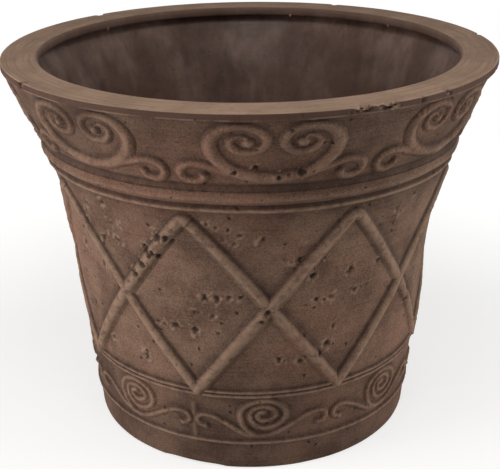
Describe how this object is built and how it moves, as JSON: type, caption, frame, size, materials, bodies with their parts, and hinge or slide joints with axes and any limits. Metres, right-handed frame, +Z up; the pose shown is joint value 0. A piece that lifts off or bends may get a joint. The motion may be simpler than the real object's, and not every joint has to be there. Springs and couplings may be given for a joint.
{
  "type": "flower pot",
  "caption": "Round clay flower pot with a flared rim, flat lip, applied scrolls on rim and base, a crossed-cord lattice on the wall and a lift-out drain plug.",
  "frame": {"origin": "centre of the foot, on the ground", "axes": "+Z up along the pot's axis, first motif of each band on -Y"},
  "size_m": [0.3322, 0.3322, 0.262],
  "materials": {
    "clay": "matt unglazed brown clay with brushed wash",
    "clay_relief": "matt unglazed brown clay, lighter on the raised lines",
    "plug_rubber": "matt black rubber"
  },
  "bodies": {
    "pot": {"pot_body": "clay", "neck_bead": "clay_relief", "neck_cord": "clay_relief", "base_cord_top": "clay_relief", "base_cord_middle": "clay_relief", "base_cord_low": "clay_relief", "rim_scroll_1": "clay_relief", "rim_scroll_2": "clay_relief", "rim_scroll_3": "clay_relief", "rim_scroll_4": "clay_relief", "rim_scroll_5": "clay_relief", "rim_scroll_6": "clay_relief", "rim_scroll_7": "clay_relief", "rim_scroll_8": "clay_relief", "lattice_cord_1": "clay_relief", "lattice_cord_2": "clay_relief", "lattice_cord_3": "clay_relief", "lattice_cord_4": "clay_relief", "lattice_cord_5": "clay_relief", "lattice_cord_6": "clay_relief", "lattice_cord_7": "clay_relief", "lattice_cord_8": "clay_relief", "lattice_upper_cord_1": "clay_relief", "lattice_upper_cord_2": "clay_relief", "lattice_upper_cord_3": "clay_relief", "lattice_upper_cord_4": "clay_relief", "lattice_upper_cord_5": "clay_relief", "lattice_upper_cord_6": "clay_relief", "lattice_upper_cord_7": "clay_relief", "lattice_upper_cord_8": "clay_relief", "lattice_lower_cord_1": "clay_relief", "lattice_lower_cord_2": "clay_relief", "lattice_lower_cord_3": "clay_relief", "lattice_lower_cord_4": "clay_relief", "lattice_lower_cord_5": "clay_relief", "lattice_lower_cord_6": "clay_relief", "lattice_lower_cord_7": "clay_relief", "lattice_lower_cord_8": "clay_relief", "base_scroll_1": "clay_relief", "base_scroll_2": "clay_relief", "base_scroll_3": "clay_relief", "base_scroll_4": "clay_relief", "base_scroll_5": "clay_relief", "base_scroll_6": "clay_relief", "base_scroll_7": "clay_relief", "base_scroll_8": "clay_relief"},
    "plug": {"drain_plug": "plug_rubber"}
  },
  "joints": [
    {"name": "plug_lift", "type": "slide", "parent": "pot", "child": "plug", "axis": [0, 0, 1], "range_m": [0, 0.29]}
  ]
}
